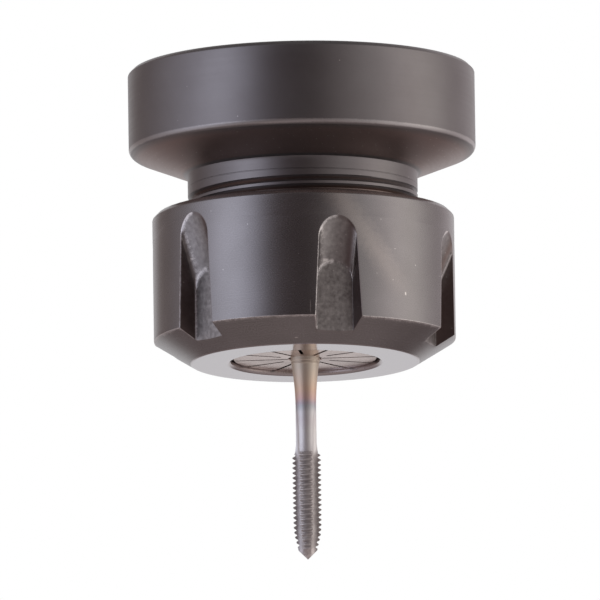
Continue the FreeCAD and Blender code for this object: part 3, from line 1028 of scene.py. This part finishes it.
def makeNutSector(mouthTop):
    # One sixth of the nut's outside, with a slot in its middle, drawn about the +X side
    s = nutSizes
    slot = SlotOutline(mouthTop)
    blend = s["floorBlend"]
    half = math.pi / s["slots"]
    border = slotEdge(SlotOutline(s["mouthTop"]))[3]
    points, faces, layers = [], [], {"wearAndHighlight": [], "forged": [], "shade": []}

    def addGrid(xyz, wearAndHighlight, forged=0, shade=0):
        xyz = np.asarray(xyz, float)
        faces.extend(gridFaces(*xyz.shape[:2], start=len(points)))
        points.extend(xyz.reshape(-1, 3).tolist())
        for layer, amount in zip(layers.values(), (wearAndHighlight, forged, shade)):
            layer.extend(np.broadcast_to(amount, xyz.shape[:2]).ravel().tolist())

    cuts = np.array([0, 0.02, 0.07, 0.18, 0.36, 0.58, 0.8, 1.0])

    # Each half: the land beside it, then the wall from the floor's blend to inside the mouth
    feet, lands = [], []
    # The edge amounts give worn edges with painted highlight lines
    for mirror, edgeWearAndHighlight, sharp in ((1, s["mouthWear"], 1.0), (-1, s["farWear"], 0.2)):
        flip = np.array([1, mirror, 1])
        far = mirror < 0
        at, share, landTurn, landHeight, edge = slotEdge(slot, 0.6 if far else 0.0)
        turns = landTurn[:, None] * (1 - cuts) - half * cuts
        level = landHeight[:, None] * (1 - cuts) + border[:, None] * cuts
        # The row on the cone's edge is a worn corner with a painted highlight line along it
        ridge = np.exp(-((border - s["coneHeight"]) / 0.04) ** 2)[:, None]
        radii = nutRadius(level) - ridge * 0.025
        land = polar(radii, turns, level)
        landWearAndHighlight = np.maximum(ridge * s["coneWear"], (cuts < 0.01) * edgeWearAndHighlight)
        addGrid((land * flip)[:, ::mirror], landWearAndHighlight[:, ::mirror])
        lands.append(land * flip)
        floorSide, floorHeight = slot.ends(at)[:2]
        onArc = np.clip(at - 1, 0, 1)
        # Painted shade on the legs and the far part of the slope, with a painted highlight line
        # beside it
        wallShade = np.clip((1.15 - at) / 0.3, 0, 1) * s["legShade"]
        if far:
            wallShade = np.maximum(wallShade, np.exp(-((at - 1.45) / 0.2) ** 2) * 0.8)
            slopeHighlight = np.exp(-((at - 1.14) / 0.08) ** 2) * 1.2
        else:
            # A broad painted highlight on the near part of the slope
            slopeHighlight = np.exp(-((at - 1.4) / 0.22) ** 2) * 0.5
        reach = blend * (sharp + (1 - sharp) * onArc)
        inner = np.minimum(reach / slot.depth, share * 0.4)
        outer = share - np.minimum(edge / slot.depth * 1.2, share * 0.3)
        steps = np.array([0, 0.08, 0.2, 0.4, 0.6, 0.8, 0.93, 1.0])
        shares = inner[:, None] + (outer - inner)[:, None] * steps
        wall = np.stack(slot.point(at[:, None] + shares * 0, shares), 2)
        wallWearAndHighlight = np.maximum(slopeHighlight[:, None], (steps == 1.0) * edgeWearAndHighlight * 0.5)
        wallWearAndHighlight = np.maximum(wallWearAndHighlight, (steps == 0) * edgeWearAndHighlight * 0.8)
        strip = np.stack([wall[:, -1], land[:, 0]], 1)
        # Painted highlight along the fillet between floor and wall, all along the near side and
        # over the arc on the far side
        footHighlight = np.where(at > 1, 0.75, 0.1) if far else at * 0 + 1
        closer = 1 - reach / slot.half
        foot = np.stack([
            floorSide * 0 + s["floorDistance"], floorSide * closer,
            slot.level + (floorHeight - slot.level) * np.where(at > 1, closer, 1),
        ], 1)
        foot[0, 2] = coneLevel(*foot[0, :2])
        blendStrip = np.stack([foot, wall[:, 0]], 1)
        addGrid(
            (wall * flip)[:, ::mirror], wallWearAndHighlight[:, ::mirror], s["wallForged"], wallShade[:, None]
        )
        # The strip along the mouth's edge; on the far side it is darkened with painted shade
        addGrid((strip * flip)[:, ::mirror], edgeWearAndHighlight, 0, 0.9 if far else 0)
        addGrid((blendStrip * flip)[:, ::mirror], footHighlight[:, None], 0.6)
        feet.append(foot * flip)

    # Floor, whose lowest row lies on the cone
    across = np.linspace(0, 1, 11)[None, :, None]
    floor = feet[0][:, None] * (1 - across) + feet[1][:, None] * across
    floor[0, :, 2] = coneLevel(*floor[0, :, :2].T)
    addGrid(floor, 0, 1)

    # Full rows above the slot, from its top to the chamfered top edge
    left, right = lands
    top = np.concatenate([left[-1, ::-1], right[-1, 1:]])
    turns = np.arctan2(top[:, 1], top[:, 0])
    chamfer, bevel, height = s["topChamfer"], 0.05, s["height"]
    full = height - chamfer - bevel
    rows = [(s["radius"], top[:, 2] + (full - top[:, 2]) * part) for part in (0, 0.35, 0.7, 1)]
    rows += [
        (s["radius"] - bevel / 2, height - chamfer + bevel / 2),
        (s["radius"] - chamfer + bevel / 2, height - bevel / 2),
        (s["radius"] - chamfer - bevel, height),
        (s["radius"] - chamfer - bevel - 0.2, height),
    ]
    addGrid([polar(radius, turns, level) for radius, level in rows], 0)

    # Full rows below it, down the cone to the edge of the front face
    lowest = np.concatenate([left[0], floor[0], right[0]])
    turns = np.arctan2(lowest[:, 1], lowest[:, 0])
    order = np.argsort(turns, kind="stable")
    lowest, turns = lowest[order], turns[order]
    keep = np.concatenate([[True], np.diff(turns) > 1e-7])
    lowest, turns = lowest[keep], turns[keep]
    rows, amounts = [lowest], [0.0]
    for height, inset, amount in (
        (1.2, 0, 0), (0.8, 0, 0), (0.3, 0, 0), (0.1, 0, 0.3), (0.03, 0, 0.6), (0, 0.05, 0.6),
        (0, 0.3, 0),
    ):
        rows.append(polar(float(nutRadius(height)) - inset, turns, height))
        amounts.append(amount)
    addGrid(rows, np.array(amounts)[:, None])
    return newMesh("sector", np.array(points) + [0, 0, heights["nutFace"]], faces, layers)


def makeClampingNut():
    s = nutSizes
    base = heights["nutFace"]
    step = fullTurn / s["slots"]
    start = math.radians(s["turn"] - 90)
    shells = [
        runTree(repeatTree, makeNutSector(mouthTop), {
            "Count": count, "Step": step, "Start Turn": turn,
            "Merge Distance": 0.001 * mm, "Material": finishes["nut"],
        })
        for mouthTop, count, turn in (
            (s["mouthTop"], s["slots"] - 1, start), (s["tallTop"], 1, start - step)
        )
    ]

    # Inside: bevelled hole, clamping cone, off-centre lip, thread relief and entry
    columns = noseThread["Columns"]
    angles = np.arange(columns) * fullTurn / columns - math.radians(s["turn"])
    shift, chamber = s["lipOffset"], s["chamberRadius"]
    lip = shift * np.cos(angles) + np.sqrt(chamber ** 2 - (shift * np.sin(angles)) ** 2)
    major = noseThread["Crest Radius"] + 0.1
    hole, bevel = s["holeRadius"], s["holeBevel"]
    threadLow, threadHigh = base + s["lipHigh"] + 0.9, base + s["height"] - s["entryChamfer"]
    inside = lathe("inside", [
        (hole + bevel + 0.3, base),
        (hole + bevel + 0.04, base), (hole + bevel - 0.03, base + 0.03),
        (hole, base + bevel), (hole, base + s["coneLow"]),
        (chamber, base + s["coneHigh"]), (chamber, base + s["lipLow"]),
        (lip, base + s["lipLow"]), (lip, base + s["lipHigh"]),
        (major, base + s["lipHigh"]), (major, threadLow),
    ], columns, wearAndHighlight=[0, 0.6, 0.6, 0, 0, 0, 0, 0, 0, 0, 0])
    entry = lathe("entry", [
        (major, threadHigh), (major + s["entryChamfer"], base + s["height"]),
    ], columns)
    sleeve = threadSleeve(True, major, threadLow, threadHigh, "nut")
    whole = gather([*shells, inside, entry, sleeve], 0.003)
    zipRings(whole, base)
    zipRings(whole, base + s["height"])
    return finishPiece("clampingNut", whole, finishes["nut"])


# Tap collet
colletSizes = {
    "columns": 240,
    "length": 34.0,
    "turn": 54.0,
    "bore": 2.29,
    "boreChamfer": 0.12,
    "faceRadius": 10.1,
    "headStart": 0.5,
    "headRadius": 12.6,
    "headFull": 4.83,
    "grooveLow": 5.33,
    "grooveHigh": 7.33,
    "grooveRadius": 11.3,
    "radius": 13.0,
    "taperStart": 8.33,
    "taperAngle": 8.0,
    "backChamfer": 0.5,
    "slits": 6,
    "slitWidth": 0.45,
    "frontSlit": 28.0,
    "webRadius": 3.7,
    "webHeight": 3.0,
    "socket": 1.75,
    "socketStart": 29.0,
    "socketTurn": -33.0,
}


def prism(outline, width):
    # A flat blade: an outline in the plane of the axis with a thickness either side of it
    count = len(outline)
    points = [(x, side * width / 2, z) for side in (-1, 1) for x, z in outline]
    faces = [tuple(range(count)), tuple(range(2 * count - 1, count - 1, -1))]
    for i in range(count):
        after = (i + 1) % count
        faces.append((i, i + count, after + count, after))
    return solidOf([newMesh("prism", points, faces)])


def makeTapCollet():
    s = colletSizes
    base = heights["colletFace"]
    slope = math.tan(math.radians(s["taperAngle"]))
    back = s["radius"] - (s["length"] - s["taperStart"]) * slope
    far = s["radius"] + 1
    profile = [
        (s["bore"] + s["boreChamfer"], 0), (3.2, 0), (6.0, 0), (8.5, 0), (s["faceRadius"] - 0.2, 0),
        (s["faceRadius"], 0.2), (s["faceRadius"], s["headStart"]),
        (s["headRadius"], s["headFull"]), (s["headRadius"], s["grooveLow"] - 0.1),
        (s["headRadius"] - 0.1, s["grooveLow"]), (s["grooveRadius"], s["grooveLow"]),
        (s["grooveRadius"], s["grooveHigh"]), (s["radius"] - 0.5, s["grooveHigh"]),
        (s["radius"], s["grooveHigh"] + 0.5), (s["radius"], s["taperStart"]),
        (s["radius"] - 8 * slope, s["taperStart"] + 8),
        (s["radius"] - 17 * slope, s["taperStart"] + 17),
        (back, s["length"] - s["backChamfer"]), (back - s["backChamfer"], s["length"]),
        (s["bore"] + 1.5, s["length"]), (s["bore"], s["length"]), (s["bore"], 20),
        (s["bore"], s["boreChamfer"]),
    ]
    # The bore carries on to the back here, and the square socket's corners are cut into it
    rings = [(radius, height + base) for radius, height in profile]
    made = solidOf([lathe("collet", rings, s["columns"], closed=True)])

    longBlade = [(0, -1), (far, -1), (far, s["frontSlit"]), (0, s["frontSlit"])]
    shortBlade = [
        (s["webRadius"], -1), (far, -1), (far, s["length"] + 1), (0, s["length"] + 1),
        (0, s["webHeight"]), (s["bore"], s["webHeight"]), (s["webRadius"], 0),
    ]
    half, top = s["socket"], s["length"] + 1
    block = [(-half, s["socketStart"]), (half, s["socketStart"]), (half, top), (-half, top)]
    step = math.pi / s["slits"]
    turn = math.radians(s["turn"])
    for outline, width, count, start in (
        (longBlade, s["slitWidth"], s["slits"], turn),
        (shortBlade, s["slitWidth"], s["slits"], turn + step),
        (block, half * 2, 1, math.radians(s["socketTurn"])),
    ):
        blade = prism([(x, z + base) for x, z in outline], width)
        made = cutRound(made, blade, count, step * 2, start, "spring")
    return finishPiece("tapCollet", gather([made], 0.0002), finishes["spring"])


# Tap
tapSizes = {
    "length": 63.0,
    "turn": -33.0,
    "shank": 2.25,
    "shankChamfer": 0.4,
    "square": 1.7,
    "squareStart": 57.0,
    "neck": 1.43,
    "neckStart": 16.3,
    "neckEnd": 21.2,
    "shoulder": 1.9,
    "shoulderStart": 27.4,
    "steps": [(27.46, 1.95), (27.85, 1.96), (27.92, 2.02), (28.6, 2.06), (29.2, 2.25)],
    "crest": 2.0,
    "threadRoot": 1.57,
    "pitch": 0.7,
    "threadStart": 1.5,
    "threadEnd": 14.6,
    "threadRunOut": 15.0,
    "runOutRadius": 1.6,
    "lead": [(0, 0), (1.3, 1.3), (3.3, 1.8), (4.6, 1.93), (8.0, 2.0)],  # height and radius
    "leadTooth": 0.3,
    "flutes": 3,
    "fluteRadius": 0.98,
    "fluteCentre": [
        # Height, and how far the middle of a flute's circle stands from the axis there
        (13.6, 1.68), (15.4, 2.22), (18.5, 2.27), (21.2, 2.42), (23.0, 2.6), (24.0, 3.4),
    ],
    "fluteLeast": 9.0,  # half of the fewest degrees that a flute's columns take up
    "landColumns": 12,
    "fluteColumns": 24,
    "rowsPerPitch": 12,
    "landHalf": 30.5,
}


def tapOutline(height):
    # Radius of the turned tap, without its thread and flutes
    s = tapSizes
    bend = s["shoulder"] - s["neck"]
    rise = s["shoulderStart"] - s["neckEnd"]
    wheel = (bend ** 2 + rise ** 2) / (2 * bend)
    up = np.clip(height - s["neckEnd"], 0, rise)
    blend = s["neck"] + wheel - np.sqrt(wheel ** 2 - up ** 2)
    shape = np.interp(height, *zip(
        *s["lead"], (s["threadEnd"], s["crest"]), (s["threadRunOut"], s["runOutRadius"]),
        (s["neckStart"], s["neck"]), (s["neckEnd"], s["neck"]),
        (s["shoulderStart"], s["shoulder"]), *s["steps"],
    ))
    inBlend = (height > s["neckEnd"]) & (height < s["shoulderStart"])
    return np.where(inBlend, blend, shape)


def tapThread(rise, outer):
    # Radius of the thread where rise is the distance above the middle of a crest. The lead's
    # teeth are lower, and so are the grooves between them.
    s = tapSizes
    pitch = s["pitch"]
    aside = np.abs((rise / pitch + 0.5) % 1 - 0.5) * pitch
    flank = min(s["crest"], outer + 0.1) - np.maximum(0, aside - pitch / 16) * math.sqrt(3)
    return min(outer, max(flank, min(s["threadRoot"], outer - s["leadTooth"])))


def fluteEdge(centre, outer):
    # Half of the arc of a flute's circle inside the turned outside, and the turn where it ends
    bite = tapSizes["fluteRadius"]
    reach = (centre ** 2 + bite ** 2 - outer ** 2) / (2 * centre * bite)
    swing = math.acos(min(1.0, max(-1.0, reach)))
    return swing, math.degrees(
        math.atan2(bite * math.sin(swing), centre - bite * math.cos(swing))
    )


def flutePoint(step, centre, outer):
    # Turn from the flute's middle in degrees, and radius, with steps from -1 to 1 across it
    bite, least = tapSizes["fluteRadius"], tapSizes["fluteLeast"]
    swing, widest = fluteEdge(centre, outer)
    if widest >= least:
        angle = step * swing
        x, y = centre - bite * math.cos(angle), bite * math.sin(angle)
        return math.degrees(math.atan2(y, x)), min(math.hypot(x, y), outer)
    turn = step * least
    inside = bite ** 2 - (centre * math.sin(math.radians(turn))) ** 2
    if inside <= 0:
        return turn, outer
    return turn, min(outer, max(centre * math.cos(math.radians(turn)) - math.sqrt(inside), 0.02))


def tapRow(level, share):
    # One row of points round the tap: each flute, then the land that follows it
    s = tapSizes
    rise, part = s["pitch"] * share, 180 / s["flutes"]
    centre = float(np.interp(level, *zip(*s["fluteCentre"])))
    landTurns = np.linspace(-s["landHalf"], s["landHalf"], s["landColumns"] + 1)
    row = []
    for k in range(s["flutes"]):
        fluteTurn = s["turn"] + 360 * k / s["flutes"]
        edges = []
        for side in (-1, 1):
            landTurn = fluteTurn + side * part
            edgeTurn = fluteTurn + side * (part - s["landHalf"])
            z = level + rise * (edgeTurn - landTurn) / 360
            outer = float(tapOutline(z))
            if s["threadStart"] < level < s["threadRunOut"]:
                outer = float(tapThread(level - s["pitch"] * landTurn / 360, outer))
            edges.append((outer, z))
        for step in np.linspace(-1, 1, s["fluteColumns"] + 1)[:-1]:
            turn, radius = flutePoint(step, centre, edges[0 if step < 0 else 1][0])
            mix = (step + 1) / 2
            row.append((fluteTurn + turn, radius, edges[0][1] * (1 - mix) + edges[1][1] * mix))
        outer = edges[1][0]
        last = max(fluteEdge(centre, outer)[1], s["fluteLeast"])
        first, end = fluteTurn + last, fluteTurn + 2 * part - last
        for i in range(s["landColumns"]):
            turn = first + (end - first) * i / s["landColumns"]
            row.append((turn, outer, level + rise * landTurns[i] / 360))
    return np.array(row).T


def makeTap():
    s = tapSizes
    fine = s["pitch"] / s["rowsPerPitch"]
    levels = np.unique(np.round(np.concatenate([
        [0.03, 0.2, 0.4, 0.6, 0.8, 1.0], np.arange(1.2, s["threadRunOut"] + fine, fine),
        np.arange(15.2, 24.0, 0.16), np.arange(24.0, 27.4, 0.4),
        [s["shoulderStart"] - 0.03, s["shoulderStart"]], [level for level, _ in s["steps"]],
        np.arange(30, 56, 3.0),
        [s["squareStart"] - 0.3, s["squareStart"]],
    ]), 5))
    # The rows climb with the thread, but not at the tip or above the thread
    climbs = np.interp(levels, [1.2, 2.2, 14.0, 15.2], [0, 1, 1, 0])
    rows = [tuple(tapRow(level, share)) for level, share in zip(levels, climbs)]

    # The driving square: its columns are evenly spread, with its corners left round
    columns = len(rows[0][0])
    first = rows[0][0][0]
    even = first + np.arange(columns) * 360 / columns
    for i, level in enumerate(levels):
        share = np.clip((level - 29) / 20, 0, 1)
        around, radius, height = rows[i]
        rows[i] = around * (1 - share) + even * share, radius, height
    facing = np.radians((even - s["turn"] + 45) % 90 - 45)
    square = np.minimum(s["shank"], s["square"] / np.cos(facing))
    chamfer = s["shankChamfer"]
    for cut, level in ((0, s["squareStart"] + 0.001), (0, 60), (0, s["length"] - chamfer),
                       (chamfer, s["length"])):
        limit = s["shank"] - cut
        rows.append((even, np.minimum(square, limit), np.full(columns, float(level))))
    # The first and last rows are single points on the axis
    rows.insert(0, (even, even * 0, even * 0))
    rows.append((even, even * 0, even * 0 + s["length"]))
    points = np.concatenate([
        polar(radius, np.radians(around), height + heights["tapTip"])
        for around, radius, height in rows
    ])
    faces = gridFaces(len(rows), columns, closed=True)

    # Land edges get pale painted highlight lines, from the lead to where the flutes run out
    perLand = s["fluteColumns"] + s["landColumns"]
    edgeWearAndHighlight = np.isin(np.arange(columns) % perLand, (0, s["fluteColumns"]))
    shown = np.interp([height[0] for _, _, height in rows], [1.5, 2.0, 19.5, 21.0], [0, 1, 1, 0])
    wearAndHighlight = (shown[:, None] * edgeWearAndHighlight).ravel()
    mesh = newMesh("tap", points, faces, {"wearAndHighlight": wearAndHighlight})
    return finishPiece("tapTool", gather([mesh], 0.0002), finishes["tool"], 35)


pieces = [
    (makeChuckBody(), "body", "chuck_body", "blackened_steel"),
    (makeClampingNut(), "nut", "clamping_nut", "blackened_steel"),
    (makeTapCollet(), "collet", "tap_collet", "spring_steel"),
    (makeTap(), "tap", "tap", "tool_steel"),
]
for piece, body, node, slotName in pieces:
    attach(piece, body)
    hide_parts(node)
print("pieces ready")
